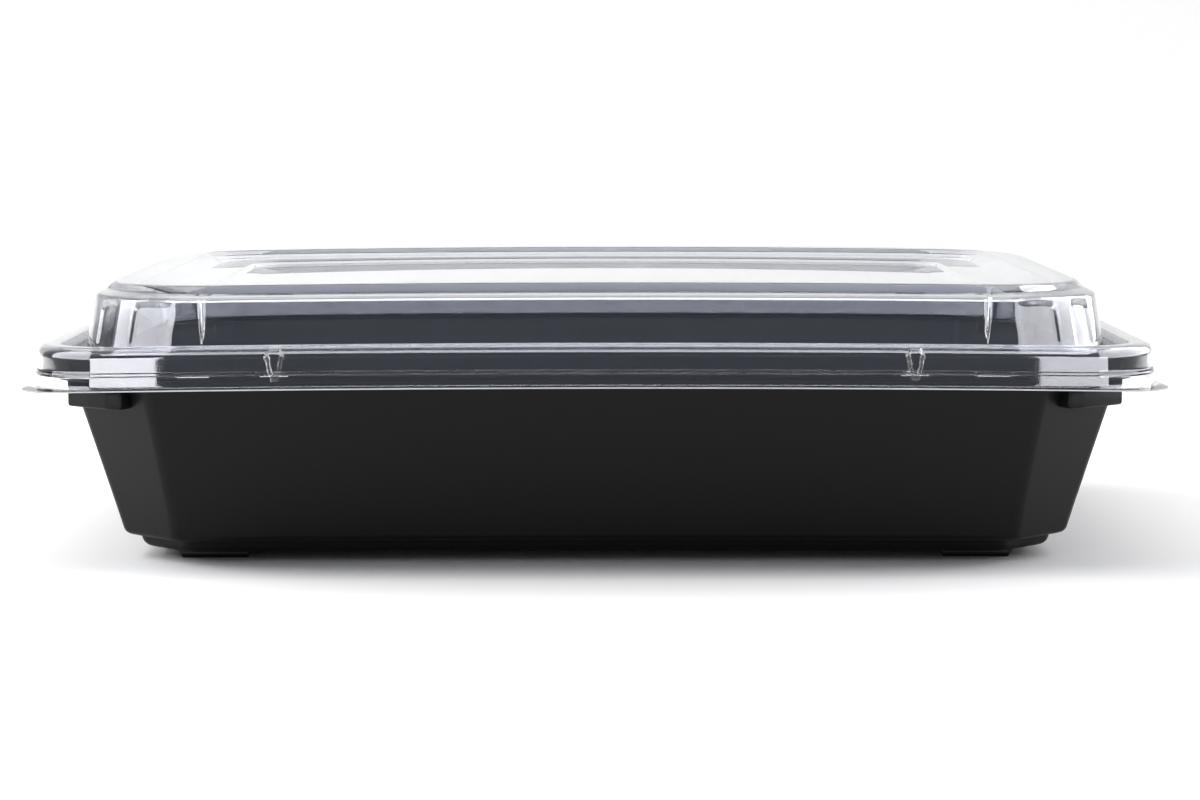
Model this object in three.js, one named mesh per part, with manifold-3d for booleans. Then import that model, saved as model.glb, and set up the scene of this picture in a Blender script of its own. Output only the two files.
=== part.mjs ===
// Takeaway meal container: a black tray and the clear lid that clips over its rim.
// Millimetres, +Z up, +X along the long side. The origin is the middle of the plane
// that the four feet stand on.
//
// Both pieces are thin sheets. Each one is a profile, drawn once as half length and
// height, that is carried round a rectangle with eased corners: up one face of the
// sheet, over its edge and back down the other face.

import * as THREE from 'three';
import { mergeVertices } from 'three/addons/utils/BufferGeometryUtils.js';
import Module from 'manifold-3d';

const wasm = await Module();
wasm.setup();

// Driving sizes.
const HALF_LENGTH = 120;        // lid flange, the widest part of the pack
const LENGTH_LESS_WIDTH = 34.4; // half length less half width, the same all round the rim
const RIM_HEIGHT = 47.75;       // top of the lid's rim, at the corners
const TOP_HEIGHT = 59.65;       // top of the dome's border, at the corners
const CROWN = 0.95;             // how far the long edges bow up in their middle

// Lid sheet.
const LID_WALL = 0.45;
const FLANGE_HEIGHT = 39.2;
const FLANGE_CORNER = 10.9;
const RIM_HALF_LENGTH = 116.6;
const RIM_CORNER = 18;
const SKIRT_INSIDE = 116.4;
const GUTTER_HEIGHT = 41.8;
const GUTTER_MIDDLE = 111.5;
const DOME_FOOT = 111.3;        // half length of the dome wall where it leaves the gutter
const DOME_DRAFT = 0.15;
const DOME_STEP = 57;
const DOME_CORNER = 30;
const RECESS_CORNER = 8;
const RECESS_EDGE = 98;
const RECESS_DEPTH = 2;

// Corner flutes of the dome: two shallow panels round each corner, the places given
// as degrees from the end wall.
const FLUTES = [[29, 44], [53, 72.5]];
const FLUTE_EDGE = 3;
const FLUTE_DEPTH = 0.7;
const FLUTE_FOOT = [47, 48.5];
const FLUTE_HEAD = [54.4, 55.9];
const SIDE_REACH = 0.26;         // how far on to the corner their places may lie, against its radius

// Small ribs where the long walls of the dome begin to turn, which taper to a point at
// the foot.
const RIB_X = 82;
const RIB_HALF = 0.95;
const RIB_OUT = 0.8;
const RIB_FOOT = 48.9;
const RIB_HEAD = 58.1;

// Tabs on the lid's skirt, two on each long side.
const TAB_X = 66.1;
const TAB_HALF = 1.9;
const TAB_EDGE = 0.5;
const TAB_OUT = 1;
const TAB_FOOT = [42.3, 43];
const TAB_HEAD = [46.2, RIM_HEIGHT];

// Tray sheet.
const TRAY_WALL = 0.6;
const FLOOR_HEIGHT = 1.6;
const SHELF_HEIGHT = 40.3;
const COLLAR = 114.35;
const TRAY_CROWN_AT_FLOOR = 0.3;
const EXTRA_WIDTH_DRAFT = 2;
const WALL_FOOT = 7;
const CHAMFER_AT_FLOOR = 10;
const CHAMFER_AT_WALL_FOOT = 13.5;
const CHAMFER_AT_SHELF = 18.5;
const CHAMFER_ROUNDING = 4;
const STEP_HEIGHT = 4.7;

// Feet and corner lugs of the tray.
const FOOT = { x: [75.4, 89.6], y: [44, 56.4], slope: 1.6, inside: 0.3 };
const LUG_FOOT = 34.2;
const LUG_OUTLINE = [[112.2, 66.5], [102.6, 74.2], [99.4, 75.4], [94, 66], [104, 56]];

const halfWidth = (halfLength, less = LENGTH_LESS_WIDTH) => halfLength - less;

/** 0 below `from`, 1 above `to`, and a straight rise between. */
function rise(value, from, to) {
  return THREE.MathUtils.clamp((value - from) / (to - from), 0, 1);
}

/** Points of a profile: corners [halfLength, z, fillet, steps], each fillet an arc. */
function profile(corners) {
  const points = [];
  corners.forEach(([a, z, fillet = 0, steps = 1], i) => {
    const here = new THREE.Vector2(a, z);
    if (fillet === 0) {
      points.push(here);
      return;
    }
    const back = new THREE.Vector2(...corners[i - 1]).sub(here).normalize();
    const on = new THREE.Vector2(...corners[i + 1]).sub(here).normalize();
    const half = Math.acos(back.dot(on)) / 2;
    const centre = back.clone().add(on).normalize().multiplyScalar(fillet / Math.sin(half)).add(here);
    const first = back.clone().multiplyScalar(fillet / Math.tan(half)).add(here).sub(centre);
    const last = on.clone().multiplyScalar(fillet / Math.tan(half)).add(here).sub(centre);
    const turn = Math.atan2(first.cross(last), first.dot(last));
    for (let k = 0; k <= steps; k++) {
      points.push(first.clone().rotateAround(new THREE.Vector2(), (turn * k) / steps).add(centre));
    }
  });
  return points;
}

/** The other face of the sheet: each point moved back square to the profile. */
function otherFace(points, thickness) {
  return points.map((point, i) => {
    const before = points[Math.max(i - 1, 0)];
    const after = points[Math.min(i + 1, points.length - 1)];
    const into = point.clone().sub(before).normalize();
    const out = after.clone().sub(point).normalize();
    const along = into.clone().add(out).normalize();
    const bend = Math.max(along.dot(into), along.dot(out));
    const square = new THREE.Vector2(along.y, -along.x);
    return { point: point.clone().addScaledVector(square, -thickness / bend), inset: square.x * thickness };
  });
}

/** A whole ring from its quarter, which runs from the +X end to the +Y side. */
function ringOfQuarter(quarter) {
  const half = [...quarter, ...quarter.slice(0, -1).reverse().map((p) => new THREE.Vector3(-p.x, p.y, p.z))];
  const otherHalf = half.slice(1, -1).reverse().map((p) => new THREE.Vector3(p.x, -p.y, p.z));
  return [...half, ...otherHalf];
}

/** One arc of an eased corner, as points with the angle of each. */
function cornerArc(centreX, centreY, radius, degrees) {
  return degrees.map((degree) => {
    const angle = THREE.MathUtils.degToRad(degree);
    return {
      degree,
      normal: new THREE.Vector2(Math.cos(angle), Math.sin(angle)),
      x: centreX + radius * Math.cos(angle),
      y: centreY + radius * Math.sin(angle),
    };
  });
}

/** A closed mesh through the rings in order, with both end rings filled across. */
function skin(rings) {
  const count = rings[0].length;
  const positions = rings.flat().flatMap((p) => [p.x, p.y, p.z]);
  const index = [];
  for (let r = 0; r + 1 < rings.length; r++) {
    for (let i = 0; i < count; i++) {
      const j = (i + 1) % count;
      const [p, q, s, t] = [r * count + i, r * count + j, (r + 1) * count + i, (r + 1) * count + j];
      index.push(p, q, t, p, t, s);
    }
  }
  const fill = (base, flip) => {
    for (let i = 0; i < count / 2; i++) {
      const [p, q] = [base + i, base + i + 1];
      const [s, t] = [base + ((count - i) % count), base + count - i - 1];
      const triangles = i === 0 ? [[p, q, t]] : i + 1 === count / 2 ? [[p, q, s]] : [[p, q, t], [p, t, s]];
      triangles.forEach(([x, y, z]) => index.push(...(flip ? [x, z, y] : [x, y, z])));
    }
  };
  fill(0, true);
  fill((rings.length - 1) * count, false);
  const geometry = new THREE.BufferGeometry();
  geometry.setAttribute('position', new THREE.Float32BufferAttribute(positions, 3));
  geometry.setIndex(index);
  return geometry;
}

function toSolid(geometry) {
  const bare = geometry.clone();
  bare.deleteAttribute('normal');
  bare.deleteAttribute('uv');
  const merged = mergeVertices(bare, 1e-4);
  return new wasm.Manifold(new wasm.Mesh({
    numProp: 3,
    vertProperties: new Float32Array(merged.attributes.position.array),
    triVerts: new Uint32Array(merged.index.array),
  }));
}

function toGeometry(solid) {
  const mesh = solid.getMesh();
  const geometry = new THREE.BufferGeometry();
  geometry.setAttribute('position', new THREE.BufferAttribute(mesh.vertProperties, 3));
  geometry.setIndex(new THREE.BufferAttribute(mesh.triVerts, 1));
  return geometry;
}

/** Corner radius of the lid at a half length: flange, rim, dome and recess in turn. */
function lidCorner(a, inset) {
  if (a > (HALF_LENGTH + RIM_HALF_LENGTH) / 2 + 1) return FLANGE_CORNER - inset;
  if (a > GUTTER_MIDDLE) return RIM_CORNER + a - RIM_HALF_LENGTH;
  if (a > (RECESS_EDGE + GUTTER_MIDDLE) / 2 - 1) return DOME_CORNER - inset;
  return RECESS_CORNER - inset;
}

/** How far the flutes, ribs and tabs push the lid's sheet out at one place. */
function lidRelief(a, z, x, degree) {
  const onDome = a < GUTTER_MIDDLE;
  if (onDome) {
    const height = rise(z, ...FLUTE_FOOT) * (1 - rise(z, ...FLUTE_HEAD));
    const across = FLUTES.map(([from, to]) => (
      rise(degree, from, from + FLUTE_EDGE) * (1 - rise(degree, to - FLUTE_EDGE, to))));
    const taper = rise(z, RIB_FOOT, FLUTE_HEAD[1]) * (1 - rise(z, FLUTE_HEAD[1], RIB_HEAD));
    const ridge = 1 - rise(Math.abs(x - RIB_X), 0, RIB_HALF);
    return RIB_OUT * taper * ridge - FLUTE_DEPTH * height * Math.max(...across);
  }
  const height = rise(z, ...TAB_FOOT) * (1 - rise(z, ...TAB_HEAD)) * rise(a, SKIRT_INSIDE - 1, SKIRT_INSIDE);
  return TAB_OUT * height * (1 - rise(Math.abs(x - TAB_X), TAB_HALF - TAB_EDGE, TAB_HALF));
}

/** A place at a distance x from the middle: on the long side, or where its corner begins. */
function placeAt(x, straight, b, radius) {
  const turned = Math.max(0, (x - straight) / radius);
  const degree = THREE.MathUtils.radToDeg(Math.acos(turned));
  return turned === 0
    ? { x, y: b, normal: new THREE.Vector2(0, 1), degree }
    : cornerArc(straight, b - radius, radius, [degree])[0];
}

function lidRing(a, z, inset, faceZ) {
  const b = halfWidth(a);
  const radius = lidCorner(a, inset);
  const degrees = [
    0, 10, 20, ...FLUTES.flatMap(([from, to]) => [from, from + FLUTE_EDGE, to - FLUTE_EDGE, to]),
  ];
  const straight = a - radius;
  const reach = RIB_X + 3;
  const back = Math.max(0, reach - straight - SIDE_REACH * radius);
  const stations = [
    Math.max(straight + 0.1 * radius, reach - back), Math.max(straight, RIB_X + 2 - back),
    ...[RIB_HALF, 0, -RIB_HALF, -4].map((x) => RIB_X + x - back),
    TAB_X + TAB_HALF, TAB_X + TAB_HALF - TAB_EDGE, TAB_X - TAB_HALF + TAB_EDGE, TAB_X - TAB_HALF,
    0,
  ];
  const places = [
    { x: a, y: 0, normal: new THREE.Vector2(1, 0), degree: 0 },
    ...cornerArc(straight, b - radius, radius, degrees),
    ...stations.map((x) => placeAt(x, straight, b, radius)),
  ];
  return ringOfQuarter(places.map(({ x, y, normal, degree }) => {
    const out = lidRelief(a, faceZ, x, degree);
    const lift = CROWN * (1 - (x / a) ** 2);
    return new THREE.Vector3(x + normal.x * out, y + normal.y * out, z + Math.max(lift, 0));
  }));
}

function makeLid() {
  const dome = (z) => DOME_FOOT - DOME_DRAFT * (z - GUTTER_HEIGHT);
  const upperFace = profile([
    [HALF_LENGTH, FLANGE_HEIGHT],
    [118.9, FLANGE_HEIGHT + 0.2],
    [118.7, 41.9],
    [118.5, 42.7],
    [118.2, RIM_HEIGHT, 2.1, 2],
    [113.45, RIM_HEIGHT, 0.9, 1],
    [111.75, GUTTER_HEIGHT],
    [DOME_FOOT, GUTTER_HEIGHT],
    ...[...FLUTE_FOOT, ...FLUTE_HEAD].map((z) => [dome(z), z]),
    [dome(DOME_STEP), DOME_STEP, 1.1, 1],
    [106.6, DOME_STEP + 1.1],
    [105.2, TOP_HEIGHT, 0.9, 1],
    [RECESS_EDGE, TOP_HEIGHT],
    [RECESS_EDGE - 4.5, TOP_HEIGHT - RECESS_DEPTH],
  ]);
  const underFace = otherFace(upperFace, LID_WALL);
  const upper = upperFace.map((p) => lidRing(p.x, p.y, 0, p.y));
  const under = underFace.map(({ point, inset }, i) => lidRing(point.x, point.y, inset, upperFace[i].y));
  return skin([...under.reverse(), ...upper]);
}

/** A tray ring: rim rings are round at the corner, wall rings are chamfered. */
function trayRing(a, z, inset) {
  const b = halfWidth(a, LENGTH_LESS_WIDTH + EXTRA_WIDTH_DRAFT * (1 - rise(z, 0, SHELF_HEIGHT)));
  const onRim = a > COLLAR - 1.5 * TRAY_WALL;
  const round = RIM_CORNER + a - RIM_HALF_LENGTH;
  const eased = 2 - Math.SQRT2;
  const wallChamfer = CHAMFER_AT_FLOOR
    + (CHAMFER_AT_WALL_FOOT - CHAMFER_AT_FLOOR) * rise(z, FLOOR_HEIGHT, WALL_FOOT)
    + (CHAMFER_AT_SHELF - CHAMFER_AT_WALL_FOOT) * rise(z, WALL_FOOT, SHELF_HEIGHT);
  const chamfer = onRim ? eased * round : wallChamfer - eased * inset;
  const radius = onRim ? round : CHAMFER_ROUNDING - inset;
  const tangent = radius * Math.tan(Math.PI / 8);
  const lower = cornerArc(a - radius, b - chamfer - tangent, radius, [0, 15, 30, 45]);
  const upper = cornerArc(a - chamfer - tangent, b - radius, radius, [45, 60, 75, 90]);
  const places = [{ x: a, y: 0 }, ...lower, ...upper, { x: a * 0.55, y: b }, { x: a * 0.25, y: b }, { x: 0, y: b }];
  const crown = THREE.MathUtils.lerp(TRAY_CROWN_AT_FLOOR, CROWN, rise(z, 0, SHELF_HEIGHT));
  return ringOfQuarter(places.map(({ x, y }) => new THREE.Vector3(x, y, z + crown * (1 - (x / a) ** 2))));
}

/** A block through two rectangles, one at each height. */
function block(low, high, lowZ, highZ) {
  const ring = ([x0, x1], [y0, y1], z) => [
    new THREE.Vector3(x1, y0, z), new THREE.Vector3(x1, y1, z),
    new THREE.Vector3(x0, y1, z), new THREE.Vector3(x0, y0, z),
  ];
  return skin([ring(low.x, low.y, lowZ), ring(high.x, high.y, highZ)]);
}

function makeFoot() {
  const spread = ([from, to]) => [from - FOOT.slope, to + FOOT.slope / 3];
  return toSolid(block(FOOT, { x: spread(FOOT.x), y: spread(FOOT.y) }, 0, FLOOR_HEIGHT + FOOT.inside));
}

function makeLug() {
  const outline = new THREE.Shape(LUG_OUTLINE.map(([x, y]) => new THREE.Vector2(x, y)));
  const height = SHELF_HEIGHT + TRAY_WALL / 2 - LUG_FOOT;
  const geometry = new THREE.ExtrudeGeometry(outline, { depth: height, bevelEnabled: false });
  return toSolid(geometry.translate(0, 0, LUG_FOOT));
}

function makeTray() {
  const under = profile([
    [92, FLOOR_HEIGHT],
    [98.5, FLOOR_HEIGHT + 0.2, 3, 3],
    [99.5, STEP_HEIGHT],
    [102.4, STEP_HEIGHT, 2.2, 2],
    [112.6, SHELF_HEIGHT],
    [COLLAR, SHELF_HEIGHT],
    [COLLAR, 45],
    [COLLAR + 0.4, 45.5],
    [116.2, 45.5],
    [116.6, 45],
    [116.6, 41.6],
    [117.6, 41.5],
  ]);
  const inside = otherFace(under, TRAY_WALL);
  const underRings = under.map((p) => trayRing(p.x, p.y, 0));
  const insideRings = inside.map(({ point, inset }) => trayRing(point.x, point.y, inset));
  const shelf = under.findIndex((p) => p.y === SHELF_HEIGHT);
  let solid = toSolid(skin([...underRings, ...insideRings.toReversed()]));

  const aboveShelf = insideRings[shelf].map((p) => p.clone().setZ(p.z + 2));
  const well = toSolid(skin([...insideRings.slice(0, shelf + 1), aboveShelf]));
  const lug = makeLug().subtract(well);
  const foot = makeFoot();
  for (const mirrorX of [false, true]) {
    for (const mirrorY of [false, true]) {
      for (const piece of [lug, foot]) {
        let placed = piece;
        if (mirrorX) placed = placed.mirror([1, 0, 0]);
        if (mirrorY) placed = placed.mirror([0, 1, 0]);
        solid = solid.add(placed);
      }
    }
  }
  return toGeometry(solid);
}

function addPiece(group, name, geometry, material) {
  geometry.computeVertexNormals();
  const mesh = new THREE.Mesh(geometry, material);
  mesh.name = name;
  group.add(mesh);
}

const blackPlastic = new THREE.MeshStandardMaterial({ color: 0x202122, roughness: 0.45, metalness: 0 });
const clearPlastic = new THREE.MeshStandardMaterial({
  color: 0xdfe4e8, roughness: 0.08, metalness: 0, transparent: true, opacity: 0.35,
});

const group = new THREE.Group();
addPiece(group, 'tray', makeTray(), blackPlastic);
addPiece(group, 'lid', makeLid(), clearPlastic);

export default group;
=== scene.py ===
"""Takeaway meal container: a black thermoformed tray under a clear clip-on lid, in a plain studio.

Both pieces are thin sheets. Each is one profile, drawn as half length and height, carried
round a rectangle with eased corners and then given the thickness of its sheet.
"""

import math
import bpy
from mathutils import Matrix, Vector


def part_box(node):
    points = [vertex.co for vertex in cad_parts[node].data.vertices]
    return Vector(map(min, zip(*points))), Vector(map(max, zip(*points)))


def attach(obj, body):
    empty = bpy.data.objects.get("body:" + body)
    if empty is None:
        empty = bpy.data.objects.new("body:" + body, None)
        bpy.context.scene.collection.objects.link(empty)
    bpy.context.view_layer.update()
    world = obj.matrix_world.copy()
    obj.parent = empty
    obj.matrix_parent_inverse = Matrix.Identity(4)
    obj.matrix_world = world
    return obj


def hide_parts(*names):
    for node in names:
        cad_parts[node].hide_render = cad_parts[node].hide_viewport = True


bl_info = {
    "name": "Takeaway Meal Container",
    "version": (1, 0, 0),
    "blender": (4, 5, 0),
    "location": "View3D > Sidebar > Meal Pack",
    "description": "Forms a black takeaway tray with its clear lid, and a plain studio round them",
    "category": "Object",
}

import bmesh
import bpy
from bpy.props import FloatProperty, FloatVectorProperty, PointerProperty
from mathutils import Matrix, Vector

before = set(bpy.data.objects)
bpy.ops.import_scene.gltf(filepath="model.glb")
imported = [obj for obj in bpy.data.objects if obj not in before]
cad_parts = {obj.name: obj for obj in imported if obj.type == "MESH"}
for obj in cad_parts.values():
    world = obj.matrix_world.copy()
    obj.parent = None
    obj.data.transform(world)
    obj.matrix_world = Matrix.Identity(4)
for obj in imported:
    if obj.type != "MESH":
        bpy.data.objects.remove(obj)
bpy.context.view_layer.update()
_, LID_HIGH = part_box("lid")

MM = 0.001

# Every ring round the pack is narrower than it is long by this much, measured from the middle.
LENGTH_LESS_WIDTH = LID_HIGH.x - LID_HIGH.y
# A quarter circle is cut back this much of its radius when it stands in for a chamfer.
EASED = 2 - math.sqrt(2)


def linear(hex_value):
    """Linear RGBA of an sRGB hex value."""
    channels = [int(hex_value[i : i + 2], 16) / 255 for i in (1, 3, 5)]
    return (*[c / 12.92 if c <= 0.04045 else ((c + 0.055) / 1.055) ** 2.4 for c in channels], 1.0)


class TraySizes(bpy.types.PropertyGroup):
    """Driving sizes of the black tray."""

    wall: FloatProperty(
        name="Wall",
        description="Thickness of the sheet",
        default=0.6 * MM,
        unit="LENGTH",
    )
    floor_height: FloatProperty(
        name="Floor height",
        description="Underside of the floor above the table",
        default=1.6 * MM,
        unit="LENGTH",
    )
    step_height: FloatProperty(
        name="Step height",
        description="Height of the step above the base",
        default=4.7 * MM,
        unit="LENGTH",
    )
    shelf_height: FloatProperty(
        name="Shelf height",
        description="Underside of the shelf the lid rests on",
        default=40.3 * MM,
        unit="LENGTH",
    )
    collar: FloatProperty(
        name="Collar",
        description="Half length of the upright above the shelf",
        default=114.35 * MM,
        unit="LENGTH",
    )
    rim_height: FloatProperty(
        name="Rim height",
        description="Underside of the rim's top",
        default=45.5 * MM,
        unit="LENGTH",
    )
    floor_crown: FloatProperty(
        name="Floor crown",
        description="Rise of the long edges in their middle",
        default=0.3 * MM,
        unit="LENGTH",
    )
    extra_draft: FloatProperty(
        name="Extra draft",
        description="How much more the long walls lean than the ends",
        default=2 * MM,
        unit="LENGTH",
    )


class LidSizes(bpy.types.PropertyGroup):
    """Driving sizes of the clear lid."""

    wall: FloatProperty(
        name="Wall",
        description="Thickness of the sheet",
        default=0.28 * MM,
        unit="LENGTH",
    )
    half_length: FloatProperty(
        name="Half length",
        description="Half length of the flange",
        default=LID_HIGH.x,
        unit="LENGTH",
    )
    flange_height: FloatProperty(
        name="Flange height",
        description="Top of the flange",
        default=39.05 * MM,
        unit="LENGTH",
    )
    rim_height: FloatProperty(
        name="Rim height",
        description="Top of the rim",
        default=47.75 * MM,
        unit="LENGTH",
    )
    gutter_height: FloatProperty(
        name="Gutter height",
        description="Floor of the gutter inside the rim",
        default=41.8 * MM,
        unit="LENGTH",
    )
    dome_foot: FloatProperty(
        name="Dome foot",
        description="Half length of the dome at the gutter",
        default=111.3 * MM,
        unit="LENGTH",
    )
    dome_corner: FloatProperty(
        name="Dome corner",
        description="Corner radius of the dome",
        default=30 * MM,
        unit="LENGTH",
    )
    top_height: FloatProperty(
        name="Top height",
        description="Top of the dome's border at its corners",
        default=59.65 * MM,
        unit="LENGTH",
    )
    recess_edge: FloatProperty(
        name="Recess edge",
        description="Half length of the recess in the top",
        default=98 * MM,
        unit="LENGTH",
    )
    crown: FloatProperty(
        name="Crown",
        description="Rise of the long edges in their middle",
        default=0.95 * MM,
        unit="LENGTH",
    )
    flute_depth: FloatProperty(
        name="Flute depth",
        description="Depth of the panels at the dome's corners",
        default=0.5 * MM,
        unit="LENGTH",
    )
    rib_height: FloatProperty(
        name="Rib height",
        description="How far the tapered ribs stand out",
        default=0.8 * MM,
        unit="LENGTH",
    )
    tab_place: FloatProperty(
        name="Tab place",
        description="Distance of the skirt's tabs from the middle",
        default=66.1 * MM,
        unit="LENGTH",
    )
    tab_height: FloatProperty(
        name="Tab height",
        description="How far the tabs stand out",
        default=0.9 * MM,
        unit="LENGTH",
    )


class PackColours(bpy.types.PropertyGroup):
    """Colours of the pack and of the table."""

    tray: FloatVectorProperty(
        name="Tray",
        description="Black polypropylene",
        size=4,
        subtype="COLOR",
        default=linear("#101011"),
    )
    lid: FloatVectorProperty(
        name="Lid",
        description="Clear PET",
        size=4,
        subtype="COLOR",
        default=linear("#f4f5f7"),
    )
    table: FloatVectorProperty(
        name="Table",
        description="Matt white laminate",
        size=4,
        subtype="COLOR",
        default=linear("#e9e9e9"),
    )


def add_node(tree, kind, settings=None, **inputs):
    """Adds a node. An input is a constant or a socket to link from; in0 is the first input."""
    node = tree.nodes.new(kind)
    for name, value in (settings or {}).items():
        setattr(node, name, value)
    for name, value in inputs.items():
        socket = node.inputs[int(name[2:])] if name[2:].isdigit() else node.inputs[name.replace("_", " ")]
        if isinstance(value, bpy.types.NodeSocket):
            tree.links.new(value, socket)
        else:
            socket.default_value = value
    return node


def new_material(name):
    """An empty node material, its tree and its output node."""
    material = bpy.data.materials.new(name)
    material.use_nodes = True
    material.node_tree.nodes.clear()
    return material, material.node_tree, add_node(material.node_tree, "ShaderNodeOutputMaterial")


def black_polypropylene(colour):
    """Thermoformed polypropylene, dyed black: satin, with the faint grain of the mould.

    It looks near black, with wide, weak highlights.
    """
    material, tree, output = new_material("thermoformed_black_polypropylene")
    grain_width = 0.35 * MM
    place = add_node(tree, "ShaderNodeTexCoord")
    grain = add_node(
        tree,
        "ShaderNodeTexNoise",
        Vector=place.outputs["Object"],
        Scale=1 / grain_width,
        Detail=2.0,
    )
    bump = add_node(
        tree,
        "ShaderNodeBump",
        Strength=0.1,
        Distance=0.02 * MM,
        Height=grain.outputs["Fac"],
    )
    skin = add_node(
        tree,
        "ShaderNodeBsdfPrincipled",
        Base_Color=colour,
        Roughness=0.45,
        IOR=1.49,
        Specular_IOR_Level=0.15,
        Normal=bump.outputs["Normal"],
    )
    tree.links.new(skin.outputs["BSDF"], output.inputs["Surface"])
    return material


def clear_pet(colour):
    """Thermoformed PET sheet: glassy, with sharp reflections on both faces.

    Shadow rays and the soft light between matt surfaces go straight through it.
    """
    material, tree, output = new_material("thermoformed_clear_pet")
    sheet = add_node(
        tree,
        "ShaderNodeBsdfPrincipled",
        Base_Color=colour,
        Roughness=0.02,
        IOR=1.57,
        Transmission_Weight=1.0,
    )
    through = add_node(tree, "ShaderNodeBsdfTransparent", Color=colour)
    path = add_node(tree, "ShaderNodeLightPath")
    shadows = add_node(
        tree,
        "ShaderNodeMixShader",
        in0=path.outputs["Is Shadow Ray"],
        in1=sheet.outputs["BSDF"],
        in2=through.outputs["BSDF"],
    )
    soft_light = add_node(
        tree,
        "ShaderNodeMixShader",
        in0=path.outputs["Is Diffuse Ray"],
        in1=shadows.outputs["Shader"],
        in2=through.outputs["BSDF"],
    )
    tree.links.new(soft_light.outputs["Shader"], output.inputs["Surface"])
    return material


def matt_pet(name, roughness, clearness):
    """A maker of matt PET, for the cut edge and for the riser's band with its painted reflection: it passes
    light blurred, as ground glass does.
    """

    def make(colour):
        material, tree, output = new_material(name)
        skin = add_node(
            tree,
            "ShaderNodeBsdfPrincipled",
            Base_Color=colour,
            Roughness=roughness,
            IOR=1.57,
            Transmission_Weight=clearness,
        )
        tree.links.new(skin.outputs["BSDF"], output.inputs["Surface"])
        return material

    return make


def white_laminate(colour):
    """Matt white laminate of the table and the backdrop: even, without highlights."""
    material, tree, output = new_material("matt_white_laminate")
    skin = add_node(tree, "ShaderNodeBsdfPrincipled", Base_Color=colour, Roughness=0.9)
    tree.links.new(skin.outputs["BSDF"], output.inputs["Surface"])
    return material


def share(value, start, stop):
    """0 before start, 1 after stop, and a straight rise between."""
    return max(0.0, min(1.0, (value - start) / (stop - start)))


def eased(value, start, stop):
    """The same rise, with soft ends."""
    t = share(value, start, stop)
    return t * t * (3 - 2 * t)


def read_off(table, value):
    """Reads a value off a table of (place, value) in rising order."""
    for (low, first), (high, last) in zip(table, table[1:]):
        if value <= high:
            return first + (last - first) * share(value, low, high)
    return table[-1][1]


# A fillet up to this radius gets only so many steps.
FINE_FILLET = 0.4 * MM
FINE_FILLET_STEPS = 2


def drawn_profile(corners, spacing, arc_steps=4):
    """Points of a profile from its corners (half length, height, fillet).

    Each fillet becomes an arc. spacing gives the greatest difference in height between two
    points, from the height of a stretch's middle and the half length of its start.
    """
    points = []
    for i, (half_length, height, fillet) in enumerate(corners):
        here = Vector((half_length, height))
        if fillet == 0:
            points.append(here)
            continue
        back = (Vector(corners[i - 1][:2]) - here).normalized()
        onward = (Vector(corners[i + 1][:2]) - here).normalized()
        half_angle = back.angle(onward) / 2
        centre = here + (back + onward).normalized() * fillet / math.sin(half_angle)
        first = here + back * fillet / math.tan(half_angle) - centre
        last = here + onward * fillet / math.tan(half_angle) - centre
        turn = math.atan2(first.x * last.y - first.y * last.x, first.dot(last))
        steps = arc_steps if fillet > FINE_FILLET else FINE_FILLET_STEPS
        for step in range(steps + 1):
            points.append(centre + Matrix.Rotation(turn * step / steps, 2) @ first)
    filled = [points[0]]
    for start, stop in zip(points, points[1:]):
        gap = spacing((start.y + stop.y) / 2, start.x)
        count = max(1, math.ceil(abs(stop.y - start.y) / gap))
        filled += [start.lerp(stop, step / count) for step in range(1, count + 1)]
    return filled


# A place on a side turns no farther round its corner than to 74 degrees from the end wall.
SIDE_REACH = math.cos(math.radians(74))


def places_round(end_shares, degrees, side_places):
    """Places of a whole ring, each as (degree, share of the end, x, share of the side, sign, sign).

    degrees run round the corner from the end wall. A side place is a fixed distance from
    the middle and the share taken of what is left up to the corner. Where the corner begins
    before that distance, the place lies on the corner.
    """
    quarter = [(0, along, 0, 1) for along in end_shares]
    quarter += [(degree, 1, 0, 1) for degree in degrees]
    quarter += [(90, 1, fixed, rest) for fixed, rest in side_places]
    return (
        [(*place, 1, 1) for place in quarter]
        + [(*place, -1, 1) for place in quarter[-2::-1]]
        + [(*place, -1, -1) for place in quarter[1:]]
        + [(*place, 1, -1) for place in quarter[-2:0:-1]]
    )


def point_on_ring(place, half_length, half_width, chamfer, radius):
    """Where a place lies on one ring, for the +X +Y quarter, and the way it faces.

    The corner is a chamfer whose two ends are rounded. A round corner is the chamfer that
    touches it.
    """
    degree, end_share, fixed, side_share = place[:4]
    # How far the rounding of a chamfer's end reaches along the side.
    tangent = radius * math.tan(math.pi / 8)
    if degree > 45:
        centre = Vector((half_length - chamfer - tangent, half_width - radius))
    else:
        centre = Vector((half_length - radius, half_width - chamfer - tangent))
    if degree < 90:
        along = centre.x
    else:
        along = fixed + side_share * max(0, centre.x - fixed)
    turned = min(max(0, along - centre.x) / radius, SIDE_REACH)
    if turned:
        degree = math.degrees(math.acos(turned))
        along = centre.x
    facing = Vector((math.cos(math.radians(degree)), math.sin(math.radians(degree))))
    return Vector((along, end_share * centre.y)) + radius * facing, facing


def carry_round(mesh, places, stations, put):
    """Draws a ring with one vertex a place and extrudes it from station to station.

    put gives the point of a place at a station. Returns the edges of the last ring.
    """
    mark = mesh.verts.layers.int.new("place")
    verts = bmesh.ops.create_circle(mesh, segments=len(places), radius=1)["verts"]
    for index, vertex in enumerate(verts):
        vertex[mark] = index
    edges = list(mesh.edges)
    for index, station in enumerate(stations):
        if index:
            grown = bmesh.ops.extrude_edge_only(mesh, edges=edges)["geom"]
            verts = [part for part in grown if isinstance(part, bmesh.types.BMVert)]
            edges = [part for part in grown if isinstance(part, bmesh.types.BMEdge) and part.is_boundary]
        for vertex in verts:
            vertex.co = put(places[vertex[mark]], station)
    return edges


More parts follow.
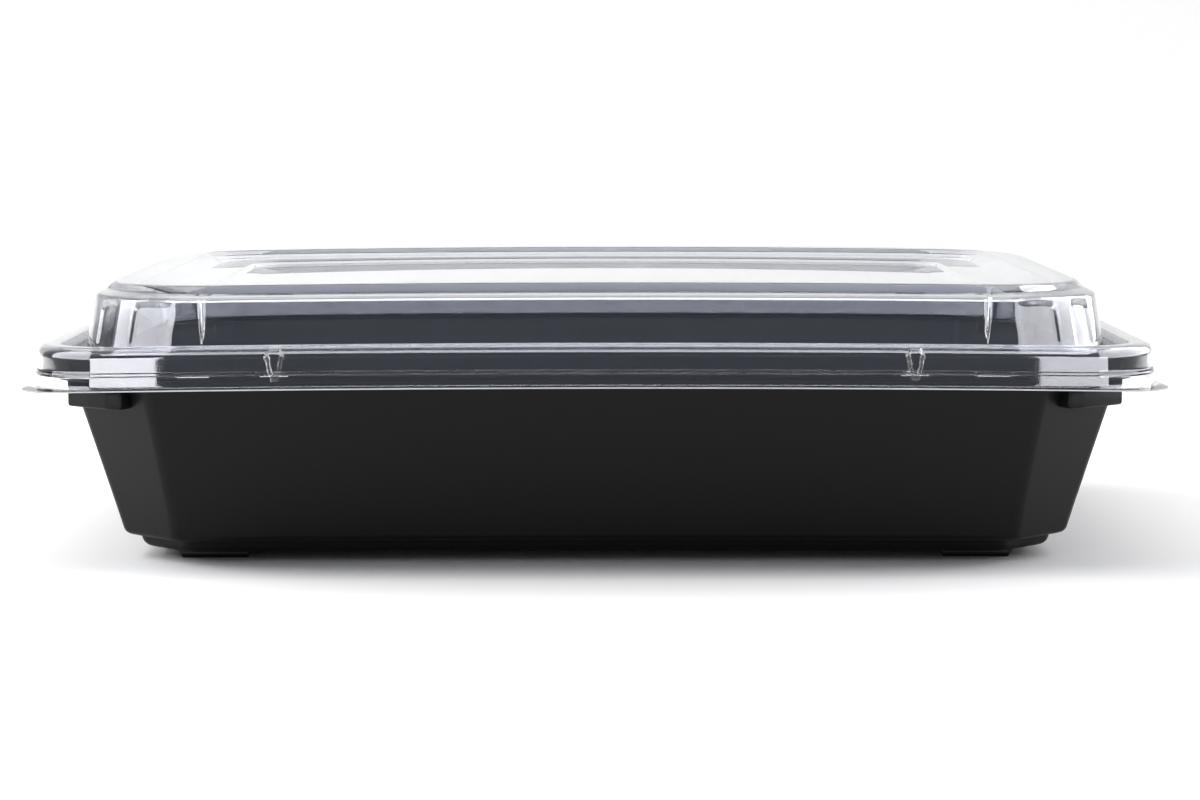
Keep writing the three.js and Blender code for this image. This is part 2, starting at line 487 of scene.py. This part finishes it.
def fill_across(mesh, edges, end_margin):
    """Closes a ring with strips straight across it along Y, which follow its rise along X."""
    reach = max(vertex.co.x for edge in edges for vertex in edge.verts) - end_margin
    sides = [edge for edge in edges if all(abs(vertex.co.x) <= reach for vertex in edge.verts)]
    strips = bmesh.ops.bridge_loops(mesh, edges=sides)
    ends = [edge for edge in edges + strips["edges"] if edge.is_boundary]
    bmesh.ops.holes_fill(mesh, edges=ends, sides=0)


def finished(name, mesh, material, node, up_or_down=None):
    """Makes the object of a modelled mesh, which rides on the pack's one body.

    up_or_down says which way the widest face of an open sheet looks: 1 up, -1 down.
    """
    bmesh.ops.remove_doubles(mesh, verts=mesh.verts, dist=0.001 * MM)
    bmesh.ops.recalc_face_normals(mesh, faces=mesh.faces)
    if up_or_down:
        widest = max(mesh.faces, key=lambda face: face.calc_area())
        if widest.normal.z * up_or_down < 0:
            bmesh.ops.reverse_faces(mesh, faces=mesh.faces)
    data = bpy.data.meshes.new(name)
    mesh.to_mesh(data)
    mesh.free()
    data.shade_smooth()
    data.materials.append(material)
    piece = bpy.data.objects.new(name, data)
    bpy.context.scene.collection.objects.link(piece)
    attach(piece, "root")
    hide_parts(node)
    return piece


def give_thickness(piece, thickness, edge_material=0):
    """Thickens a sheet inwards from its modelled outer face, and keeps its flats flat.

    edge_material is the slot of the cut edge's material.
    """
    wall = piece.modifiers.new("sheet_thickness", "SOLIDIFY")
    wall.thickness = thickness
    wall.material_offset_rim = edge_material
    wall.offset = -1
    wall.use_even_offset = True
    piece.modifiers.new("flat_faces", "WEIGHTED_NORMAL")


def make_material_once(name, make, colour):
    """The material of that name, made in this colour if there is none yet."""
    return bpy.data.materials.get(name) or make(colour)


# The tray.

CHAMFER_AT_FLOOR = 10 * MM
CHAMFER_AT_WALL_FOOT = 13.5 * MM
CHAMFER_AT_SHELF = 18.5 * MM
WALL_FOOT = 7 * MM
CHAMFER_ROUNDING = 4 * MM
RIM_HALF_LENGTH = 116.6 * MM
RIM_CORNER = 18 * MM
RIM_WIDTH = 2.25 * MM
RIM_FOOT = 41.6 * MM
TRAY_RING_SPACING = 6 * MM
# Both ends of a chamfer face 45 degrees, so its second end is a hair past that.
SECOND_CHAMFER_END = 45.001
# The strips that close a sheet's middle stop this far from its last ring's ends.
STRIP_MARGIN = 1 * MM


def tray_point(sizes, crown):
    """How the tray's rings are drawn: chamfered on the walls, round on the rim."""

    def put(place, station):
        half_length, height = station
        up = share(height, 0, sizes.shelf_height)
        half_width = half_length - LENGTH_LESS_WIDTH - sizes.extra_draft * (1 - up)
        if half_length > sizes.collar - 1.5 * sizes.wall:
            radius = RIM_CORNER + half_length - RIM_HALF_LENGTH
            chamfer = EASED * radius
        else:
            radius = CHAMFER_ROUNDING
            chamfer = (
                CHAMFER_AT_FLOOR
                + (CHAMFER_AT_WALL_FOOT - CHAMFER_AT_FLOOR) * share(height, sizes.floor_height, WALL_FOOT)
                + (CHAMFER_AT_SHELF - CHAMFER_AT_WALL_FOOT) * share(height, WALL_FOOT, sizes.shelf_height)
            )
        point, _ = point_on_ring(place, half_length, half_width, chamfer, radius)
        lift = (sizes.floor_crown + (crown - sizes.floor_crown) * up) * (1 - (point.x / half_length) ** 2)
        return Vector((point.x * place[4], point.y * place[5], height + lift))

    return put


class PACK_OT_form_tray(bpy.types.Operator):
    """Forms the black tray: a tapered well with chamfered corners under a rolled rim"""

    bl_idname = "pack.form_tray"
    bl_label = "Form Tray"

    def execute(self, context):
        sizes = context.scene.pack_tray
        rim = sizes.collar + RIM_WIDTH
        # Half length, height and fillet of each corner, from the rim's edge to the floor.
        corners = [
            (rim + 1 * MM, 41.5 * MM, 0),
            (rim, RIM_FOOT, 0.35 * MM),
            (rim, sizes.rim_height, 0.6 * MM),
            (sizes.collar, sizes.rim_height, 0.5 * MM),
            (sizes.collar, sizes.shelf_height, 0.5 * MM),
            (112.6 * MM, sizes.shelf_height, 0.6 * MM),
            (102.4 * MM, sizes.step_height, 2.2 * MM),
            (99.5 * MM, sizes.step_height, 0.5 * MM),
            (98.5 * MM, sizes.floor_height + 0.2 * MM, 2.6 * MM),
            (90 * MM, sizes.floor_height, 0),
        ]
        stations = drawn_profile(
            corners,
            spacing=lambda height, half_length: TRAY_RING_SPACING,
            arc_steps=5,
        )
        half_corner = [45 * step / 6 for step in range(7)]
        degrees = half_corner + [SECOND_CHAMFER_END] + [45 + degree for degree in half_corner[1:]]
        sides = [(0, part) for part in (0.9, 0.78, 0.64, 0.5, 0.36, 0.22, 0.1, 0)]
        places = places_round((0, 0.5), degrees, sides)
        mesh = bmesh.new()
        last = carry_round(mesh, places, stations, tray_point(sizes, context.scene.pack_lid.crown))
        fill_across(mesh, last, STRIP_MARGIN)
        material = make_material_once(
            "thermoformed_black_polypropylene", black_polypropylene, context.scene.pack_colours.tray
        )
        piece = finished("tray_shell", mesh, material, "tray", up_or_down=-1)
        give_thickness(piece, sizes.wall)
        return {"FINISHED"}


# Outlines in millimetres of the lug and the foot in the +X +Y quarter. A lug's back leans in
# by LUG_LEAN with the wall behind it, and a foot is FOOT_SPREAD wider where it meets the tray.
LUG_FOOT = 34.2 * MM
LUG_FACE = [(112.2, 66.5), (102.6, 74.2), (99.4, 75.4)]
LUG_BACK = [(97.3, 71.6), (107.8, 61.1)]
LUG_LEAN = 0.9
LUG_EASING = 0.7 * MM
FOOT_X = (75.4, 89.6)
FOOT_Y = (44.0, 56.4)
FOOT_SPREAD = 1.6
FOOT_EASING = 0.3 * MM


def add_block(mesh, low, high, low_z, high_z, easing):
    """A closed block between two outlines of as many points, its lower edges eased."""
    start = [mesh.verts.new((x * MM, y * MM, low_z)) for x, y in low]
    base = bmesh.ops.contextual_create(mesh, geom=start)["faces"]
    grown = bmesh.ops.extrude_face_region(mesh, geom=base, use_keep_orig=True)["geom"]
    top = [part for part in grown if isinstance(part, bmesh.types.BMVert)]
    for vertex in top:
        index = min(range(len(low)), key=lambda i: (vertex.co - start[i].co).length)
        vertex.co = (high[index][0] * MM, high[index][1] * MM, high_z)
    edges = [edge for edge in mesh.edges if edge.verts[0] in start or edge.verts[1] in start]
    bmesh.ops.bevel(
        mesh,
        geom=edges,
        offset=easing,
        offset_type="OFFSET",
        segments=3,
        profile=0.5,
        affect="EDGES",
        material=-1,
    )


def at_four_corners(mesh):
    """Copies what stands in the +X +Y quarter to the other three."""
    for axis in ("X", "Y"):
        bmesh.ops.mirror(mesh, geom=mesh.verts[:] + mesh.edges[:] + mesh.faces[:], merge_dist=-1, axis=axis)


class PACK_OT_form_tray_blocks(bpy.types.Operator):
    """Forms the lugs under the tray's corners and the low feet it stands on"""

    bl_idname = "pack.form_tray_blocks"
    bl_label = "Form Lugs and Feet"

    def execute(self, context):
        sizes = context.scene.pack_tray
        material = make_material_once(
            "thermoformed_black_polypropylene", black_polypropylene, context.scene.pack_colours.tray
        )
        low_lug = LUG_FACE + LUG_BACK
        high_lug = LUG_FACE + [(x + LUG_LEAN, y + LUG_LEAN) for x, y in LUG_BACK]
        lug = bmesh.new()
        add_block(lug, low_lug, high_lug, LUG_FOOT, sizes.shelf_height + sizes.wall / 2, LUG_EASING)
        at_four_corners(lug)
        finished("tray_lugs", lug, material, "tray")

        low_foot = list(zip(FOOT_X + FOOT_X[::-1], (FOOT_Y[0],) * 2 + (FOOT_Y[1],) * 2))
        middle = (sum(FOOT_X) / 2, sum(FOOT_Y) / 2)
        half_spread = FOOT_SPREAD / 2
        high_foot = [
            (x + math.copysign(half_spread, x - middle[0]), y + math.copysign(half_spread, y - middle[1]))
            for x, y in low_foot
        ]
        foot = bmesh.new()
        add_block(foot, low_foot, high_foot, 0, sizes.floor_height + sizes.wall / 2, FOOT_EASING)
        at_four_corners(foot)
        finished("tray_feet", foot, material, "tray")
        return {"FINISHED"}


# The lid.

FLANGE_CORNER = 10.9 * MM
RECESS_CORNER = 8 * MM
PANEL_CORNER = 6 * MM
# Half lengths at the inner side of the flange, of the skirt, of the rim and of the recess.
FLANGE_INSIDE = 119.3 * MM
SKIRT_INSIDE = 116 * MM
GUTTER_MIDDLE = 111.5 * MM
RECESS_INSIDE = 89 * MM
# The dome's ribs and flutes end this far outside the recess, on the flat border round it.
BORDER_WIDTH = 6 * MM
DOME_DRAFT = 0.15
DOME_STEP = 57 * MM
RECESS_DEPTH = 2 * MM
PANEL_DEPTH = 0.7 * MM
# The dome's riser is matt between these half lengths, and tinted blue-grey there: a painted reflection of
# the dim room, which darkens the riser.
RISER_PAINTED_REFLECTION_BAND = (104.9 * MM, 106.8 * MM)
# Blue-grey tint of the riser's band: a painted reflection of the dim room.
RISER_PAINTED_REFLECTION_BAND_COLOUR = "#c4c8d0"
# Slots of the lid's second and third material.
BAND_SLOT = 1
CUT_EDGE_SLOT = 2
# A face whose normal rises more than this lies level.
LEVEL_NORMAL = 0.9

# Panels pressed into each corner of the dome: degrees from the end wall where each starts
# and stops, how far its head is rounded at either side, and how soft its edge is there.
FLUTES = [
    (29, 44, (3.5 * MM, 1.2 * MM), (0.7 * MM, 0.9 * MM)),
    (53, 73.5, (2.2 * MM, 3.5 * MM), (0.9 * MM, 2.4 * MM)),
]
FLUTE_FOOT = 46.4 * MM
FLUTE_FOOT_ROUNDING = 1 * MM
FLUTE_HEAD = 56.5 * MM
FLUTE_HEAD_EDGE = 0.45 * MM

# Tapered ribs at the ends of the dome's long walls.
RIB_PLACE = 82 * MM
RIB_HALF_WIDTH = 1.05 * MM
RIB_POINT = 48.7 * MM
RIB_HEAD = (58 * MM, 59.2 * MM)
# A rib's width and height grow from its foot with these powers of the height.
RIB_WIDENING = 0.4
RIB_RISE = 0.3

# Half width of a tab of the skirt at each height.
TAB_HALF_WIDTHS = [
    (41.5 * MM, 0.75 * MM),
    (42.4 * MM, 1.1 * MM),
    (43.9 * MM, 1.45 * MM),
    (45.1 * MM, 1.5 * MM),
    (45.7 * MM, 2 * MM),
    (46.2 * MM, 1.6 * MM),
    (47.3 * MM, 1.4 * MM),
]
TAB_EDGE = 0.45 * MM
TAB_FOOT = (41.1 * MM, 41.6 * MM)
TAB_HEAD = (47.1 * MM, 47.6 * MM)

# Degrees from the end wall where the lid's corners have a vertex: each degree at a flute's edge.
LID_DEGREES = [
    *range(0, 27, 3),
    *range(27, 32),
    *range(33, 42, 2),
    *range(42, 57),
    *range(58, 70, 2),
    *range(70, 75),
]
# Steps in millimetres between places along a side: over the ribs and tabs, and elsewhere.
FINE_STEP = 0.2
COARSE_STEP = 6
# Heights between which a flute's sides run straight, and from which the dome has relief.
FLUTE_STRAIGHT = (48.5 * MM, 53.5 * MM)
RELIEF_FOOT = 46.5 * MM
# Greatest difference in height between two of the lid's rings.
SKIRT_SPACING = 0.45 * MM
GUTTER_SPACING = 3 * MM
STRAIGHT_SPACING = 0.9 * MM
RELIEF_SPACING = 0.4 * MM
PLAIN_SPACING = 2 * MM


def lid_corner(sizes, half_length):
    """Corner radius of the lid's rings: flange, rim, dome and recess in turn."""
    if half_length > FLANGE_INSIDE:
        return FLANGE_CORNER
    if half_length > GUTTER_MIDDLE:
        return RIM_CORNER + half_length - RIM_HALF_LENGTH
    if half_length > (sizes.recess_edge + GUTTER_MIDDLE) / 2 - 1 * MM:
        return sizes.dome_corner
    return RECESS_CORNER if half_length > RECESS_INSIDE else PANEL_CORNER


def flute_relief(sizes, degree, height):
    """How far a flute pulls the dome's corner in: a rounded panel with soft edges."""
    deepest = 0
    for start, stop, roundings, edges in FLUTES:
        half_width = math.radians(stop - start) / 2 * sizes.dome_corner
        across = abs(math.radians(degree - (start + stop) / 2)) * sizes.dome_corner
        half_height = (FLUTE_HEAD - FLUTE_FOOT) / 2
        up = abs(height - (FLUTE_HEAD + FLUTE_FOOT) / 2)
        side = 0 if degree < (start + stop) / 2 else 1
        rounding = roundings[side]
        if height < FLUTE_FOOT + half_height:
            rounding = FLUTE_FOOT_ROUNDING
        beyond = Vector((across - half_width + rounding, up - half_height + rounding))
        past_corner = Vector((max(beyond.x, 0), max(beyond.y, 0))).length
        outside = past_corner + min(max(beyond.x, beyond.y), 0) - rounding
        edge = FLUTE_HEAD_EDGE if beyond.y > beyond.x else edges[side]
        deepest = max(deepest, eased(-outside, 0, edge))
    return sizes.flute_depth * deepest


def rib_relief(sizes, x, height):
    """How far a tapered rib stands out: a ridge that narrows to a point at its foot."""
    up = share(height, RIB_POINT, RIB_HEAD[0])
    if up == 0:
        return 0
    half_width = RIB_HALF_WIDTH * up**RIB_WIDENING
    across = abs(x - RIB_PLACE)
    height_here = sizes.rib_height * up**RIB_RISE * (1 - share(height, *RIB_HEAD))
    return height_here * (1 - share(across, 0, half_width))


def tab_relief(sizes, x, height):
    """How far a tab of the skirt stands out at a distance x from the middle."""
    half_width = read_off(TAB_HALF_WIDTHS, height)
    ends = share(height, *TAB_FOOT) * (1 - share(height, *TAB_HEAD))
    across = abs(x - sizes.tab_place)
    return sizes.tab_height * ends * (1 - eased(across, half_width - TAB_EDGE, half_width))


def lid_point(sizes):
    """How the lid's rings are drawn, with its flutes, ribs and tabs."""

    def put(place, station):
        half_length, height = station
        radius = lid_corner(sizes, half_length)
        half_width = half_length - LENGTH_LESS_WIDTH
        point, facing = point_on_ring(place, half_length, half_width, EASED * radius, radius)
        relief = 0
        if half_length > SKIRT_INSIDE and place[0] == 90:
            relief = tab_relief(sizes, point.x, height)
        elif sizes.recess_edge + BORDER_WIDTH < half_length < GUTTER_MIDDLE:
            relief = rib_relief(sizes, point.x, height) - flute_relief(sizes, place[0], height)
        point = point + relief * facing
        lift = sizes.crown * max(0, 1 - (point.x / half_length) ** 2)
        return Vector((point.x * place[4], point.y * place[5], height + lift))

    return put


def lid_places(sizes):
    """Where the lid's rings have a vertex: close together on flutes, ribs and tabs."""
    past_rib = RIB_PLACE + 6.5 * MM
    past_tab = sizes.tab_place + 3.9 * MM
    sides = [(past_rib, part) for part in (1.25, 1, 0.6, 0.25, 0)]
    sides += [(RIB_PLACE + gap * MM, 0) for gap in (4.8, 3.4, 2.4, 1.8)]
    sides += [(RIB_PLACE + (1.5 - step * FINE_STEP) * MM, 0) for step in range(16)]
    sides += [(RIB_PLACE - gap * MM, 0) for gap in (1.8, 2.4, 3.6, 5.2, 7.4, 9.6)]
    sides += [(past_tab - (0.9 + step * FINE_STEP) * MM, 0) for step in range(31)]
    sides += [(step * COARSE_STEP * MM, 0) for step in range(10, -1, -1)]
    return places_round((0, 0.5), LID_DEGREES, sides)


def lid_spacing(height, half_length):
    """How far apart the lid's rings lie, in height: closer where the relief changes."""
    if half_length > SKIRT_INSIDE:
        return SKIRT_SPACING
    if half_length > GUTTER_MIDDLE:
        return GUTTER_SPACING
    if FLUTE_STRAIGHT[0] < height < FLUTE_STRAIGHT[1]:
        return STRAIGHT_SPACING
    return RELIEF_SPACING if height > RELIEF_FOOT else PLAIN_SPACING


def on_painted_reflection_band(face):
    """Whether a face of the lid lies on the matt band round the top of the dome, whose blue-grey tint is a
    painted reflection.
    """
    middle = face.calc_center_median()
    half_length = max(abs(middle.x), abs(middle.y) + LENGTH_LESS_WIDTH)
    if abs(face.normal.z) >= LEVEL_NORMAL or middle.z <= DOME_STEP:
        return False
    return RISER_PAINTED_REFLECTION_BAND[0] < half_length < RISER_PAINTED_REFLECTION_BAND[1]


class PACK_OT_form_lid(bpy.types.Operator):
    """Forms the clear lid: flange, skirt, rim, gutter and dome, with its flutes, ribs and tabs"""

    bl_idname = "pack.form_lid"
    bl_label = "Form Lid"

    def execute(self, context):
        sizes = context.scene.pack_lid
        dome_top = sizes.dome_foot - DOME_DRAFT * (DOME_STEP - sizes.gutter_height)
        recess_floor = sizes.top_height - RECESS_DEPTH
        # Half length, height and fillet of each corner, from the flange's edge to the top.
        corners = [
            (sizes.half_length, sizes.flange_height, 0),
            (118.9 * MM, sizes.flange_height + 0.2 * MM, 0.35 * MM),
            (118.76 * MM, 41.8 * MM, 0.08 * MM),
            (118.62 * MM, 41.95 * MM, 0.08 * MM),
            (118.6 * MM, 42.45 * MM, 0.08 * MM),
            (118.47 * MM, 42.6 * MM, 0.08 * MM),
            (118.2 * MM, sizes.rim_height, 2.1 * MM),
            (113.45 * MM, sizes.rim_height, 0.9 * MM),
            (111.75 * MM, sizes.gutter_height, 0.2 * MM),
            (sizes.dome_foot, sizes.gutter_height, 0.2 * MM),
            (dome_top, DOME_STEP, 1.3 * MM),
            (106.6 * MM, DOME_STEP + 1.1 * MM, 0.3 * MM),
            (105.2 * MM, sizes.top_height, 0.9 * MM),
            (sizes.recess_edge, sizes.top_height, 1.0 * MM),
            (sizes.recess_edge - 4.5 * MM, recess_floor, 1.0 * MM),
            (85.4 * MM, recess_floor, 0.8 * MM),
            (84 * MM, recess_floor - PANEL_DEPTH, 0.8 * MM),
            (80 * MM, recess_floor - PANEL_DEPTH, 0),
        ]
        stations = drawn_profile(corners, spacing=lid_spacing)
        mesh = bmesh.new()
        last = carry_round(mesh, lid_places(sizes), stations, lid_point(sizes))
        fill_across(mesh, last, STRIP_MARGIN)
        for face in filter(on_painted_reflection_band, mesh.faces):
            face.material_index = BAND_SLOT
        colour = context.scene.pack_colours.lid
        material = make_material_once("thermoformed_clear_pet", clear_pet, colour)
        piece = finished("lid_sheet", mesh, material, "lid", up_or_down=1)
        others = (
            # The riser's band is tinted blue-grey: a painted reflection of the dim room, which darkens it.
            ("matt_pet_painted_reflection_band", 0.45, 1.0, linear(RISER_PAINTED_REFLECTION_BAND_COLOUR)),
            ("cut_pet_edge", 0.6, 0.4, colour),
        )
        for name, roughness, clearness, tint in others:
            make = matt_pet(name, roughness, clearness)
            piece.data.materials.append(make_material_once(name, make, tint))
        give_thickness(piece, sizes.wall, CUT_EDGE_SLOT)
        return {"FINISHED"}


# The studio.

CAMERA_PLACE = (1.15 * MM, -699.87 * MM, 103.15 * MM)
CAMERA_TILT = 6.11
CAMERA_ROLL = 0.086
CAMERA_LENS = 90
SENSOR_WIDTH = 36

# The table in metres: flat up to TABLE_BACK, then swept up into the wall behind.
TABLE_FRONT = -0.95
TABLE_BACK = 0.9
TABLE_REACH = 3.0
SWEEP_RADIUS = 0.5
SWEEP_STEPS = 12
WALL_HEIGHT = 2.2

# The room's grey shows in the lid. Its light is the even part of what falls on matt surfaces.
ROOM_COLOUR = "#8890a0"
ROOM_LIGHT = 0.26
GLOSS_COLOUR = "#f8f8ff"

# Lamps: name, place, what it faces, width, height, brightness against white, and whether
# it lights matt surfaces or shows in the pack's gloss.
SOFTBOXES = [
    ("ceiling_panel", (0, -0.27, 1.4), (0, -0.27, 0), 1.6, 0.6, 4.0, True),
    ("left_fill", (-1.0, 0.35, 0.7), (0, 0, 0), 1.0, 1.0, 7.2, True),
    ("right_fill", (1.0, 0.35, 0.7), (0, 0, 0), 1.0, 1.0, 3.2, True),
    ("front_top_softbox", (0, -1.124, 0.977), (0, 0, 0.05), 1.6, 0.8, 4.5, False),
    ("left_softbox", (-1.15, -0.5, 0.97), (0, -0.5, 0.97), 1.4, 1.76, 5.2, False),
    ("right_softbox", (1.15, 0.05, 0.97), (0, 0.05, 0.97), 2.5, 1.76, 4.6, False),
    ("left_card", (-0.535, -0.95, 0.1), (-0.535, 0, 0.1), 0.63, 0.2, 9.5, False),
    ("right_card", (0.76, -0.95, 0.1), (0.76, 0, 0.1), 1.08, 0.2, 6.2, False),
]


def add_softbox(name, place, target, width, height, radiance, lights_matt):
    """A soft rectangular lamp that faces target. radiance is its brightness against white.

    A lamp for matt surfaces stays out of reflections, and the others show in the gloss only.
    What the lid's back face reflects leaves the sheet as a transmission ray.
    """
    lamp = bpy.data.lights.new(name, "AREA")
    lamp.shape = "RECTANGLE"
    lamp.size = width
    lamp.size_y = height
    lamp.energy = radiance * math.pi * width * height
    if not lights_matt:
        lamp.color = linear(GLOSS_COLOUR)[:3]
    box = bpy.data.objects.new(name, lamp)
    box.location = place
    box.rotation_euler = (Vector(target) - Vector(place)).to_track_quat("-Z", "Y").to_euler()
    box.visible_diffuse = lights_matt
    box.visible_glossy = not lights_matt
    box.visible_transmission = not lights_matt
    bpy.context.scene.collection.objects.link(box)
    return box


class PACK_OT_set_studio(bpy.types.Operator):
    """Sets up the white table with its backdrop, the soft light and the camera"""

    bl_idname = "pack.set_studio"
    bl_label = "Set Studio"

    def execute(self, context):
        mesh = bmesh.new()
        edge = [mesh.verts.new((x, TABLE_FRONT, 0)) for x in (-TABLE_REACH, TABLE_REACH)]
        strip = bmesh.ops.contextual_create(mesh, geom=edge)["edges"]
        sweep = [(TABLE_BACK, 0)]
        for step in range(1, SWEEP_STEPS + 1):
            turn = math.radians(90 * step / SWEEP_STEPS)
            sweep.append((TABLE_BACK + SWEEP_RADIUS * math.sin(turn), SWEEP_RADIUS * (1 - math.cos(turn))))
        sweep.append((TABLE_BACK + SWEEP_RADIUS, WALL_HEIGHT))
        for y, z in sweep:
            grown = bmesh.ops.extrude_edge_only(mesh, edges=strip)["geom"]
            strip = [part for part in grown if isinstance(part, bmesh.types.BMEdge) and part.is_boundary]
            ends = [part for part in grown if isinstance(part, bmesh.types.BMVert)]
            strip = [line for line in strip if line.verts[0] in ends and line.verts[1] in ends]
            for vertex in ends:
                vertex.co.y = y
                vertex.co.z = z
        bmesh.ops.recalc_face_normals(mesh, faces=mesh.faces)
        mesh.faces.ensure_lookup_table()
        if mesh.faces[0].normal.z < 0:
            bmesh.ops.reverse_faces(mesh, faces=mesh.faces)
        table = bpy.data.meshes.new("table")
        mesh.to_mesh(table)
        mesh.free()
        table.shade_smooth()
        table.materials.append(white_laminate(context.scene.pack_colours.table))
        floor = bpy.data.objects.new("table", table)
        context.scene.collection.objects.link(floor)

        world = bpy.data.worlds.new("dim_room")
        world.use_nodes = True
        tree = world.node_tree
        tree.nodes.clear()
        room = add_node(tree, "ShaderNodeBackground", Color=linear(ROOM_COLOUR), Strength=1.0)
        light = add_node(tree, "ShaderNodeBackground", Color=linear("#ffffff"), Strength=ROOM_LIGHT)
        path = add_node(tree, "ShaderNodeLightPath")
        seen = add_node(
            tree,
            "ShaderNodeMixShader",
            in0=path.outputs["Is Diffuse Ray"],
            in1=room.outputs["Background"],
            in2=light.outputs["Background"],
        )
        add_node(tree, "ShaderNodeOutputWorld", Surface=seen.outputs["Shader"])
        context.scene.world = world
        context.scene.view_settings.view_transform = "Standard"

        for softbox in SOFTBOXES:
            add_softbox(*softbox)

        lens = bpy.data.cameras.new("photo_camera")
        lens.lens = CAMERA_LENS
        lens.sensor_width = SENSOR_WIDTH
        lens.clip_start = 0.01
        camera = bpy.data.objects.new("photo_camera", lens)
        camera.location = CAMERA_PLACE
        camera.rotation_euler = (math.radians(90 - CAMERA_TILT), math.radians(CAMERA_ROLL), 0)
        context.scene.collection.objects.link(camera)
        context.scene.camera = camera
        return {"FINISHED"}


class PACK_PT_panel(bpy.types.Panel):
    """Sizes, colours and steps of the meal container"""

    bl_idname = "PACK_PT_panel"
    bl_label = "Meal Pack"
    bl_space_type = "VIEW_3D"
    bl_region_type = "UI"
    bl_category = "Meal Pack"

    def draw(self, context):
        groups = (
            (context.scene.pack_tray, TraySizes, (PACK_OT_form_tray, PACK_OT_form_tray_blocks)),
            (context.scene.pack_lid, LidSizes, (PACK_OT_form_lid,)),
            (context.scene.pack_colours, PackColours, (PACK_OT_set_studio,)),
        )
        for group, kind, operators in groups:
            box = self.layout.box()
            for name in kind.__annotations__:
                box.prop(group, name)
            for operator in operators:
                box.operator(operator.bl_idname)


CLASSES = (
    TraySizes,
    LidSizes,
    PackColours,
    PACK_OT_form_tray,
    PACK_OT_form_tray_blocks,
    PACK_OT_form_lid,
    PACK_OT_set_studio,
    PACK_PT_panel,
)


def register():
    """Registers the classes and puts the sizes and colours on the scene."""
    for kind in CLASSES:
        bpy.utils.register_class(kind)
    bpy.types.Scene.pack_tray = PointerProperty(type=TraySizes)
    bpy.types.Scene.pack_lid = PointerProperty(type=LidSizes)
    bpy.types.Scene.pack_colours = PointerProperty(type=PackColours)


def unregister():
    """Takes away what register() added."""
    del bpy.types.Scene.pack_colours
    del bpy.types.Scene.pack_lid
    del bpy.types.Scene.pack_tray
    for kind in reversed(CLASSES):
        bpy.utils.unregister_class(kind)


def main():
    """Forms the pack and the studio."""
    register()
    bpy.ops.pack.form_tray()
    bpy.ops.pack.form_tray_blocks()
    bpy.ops.pack.form_lid()
    bpy.ops.pack.set_studio()


if __name__ == "__main__":
    main()
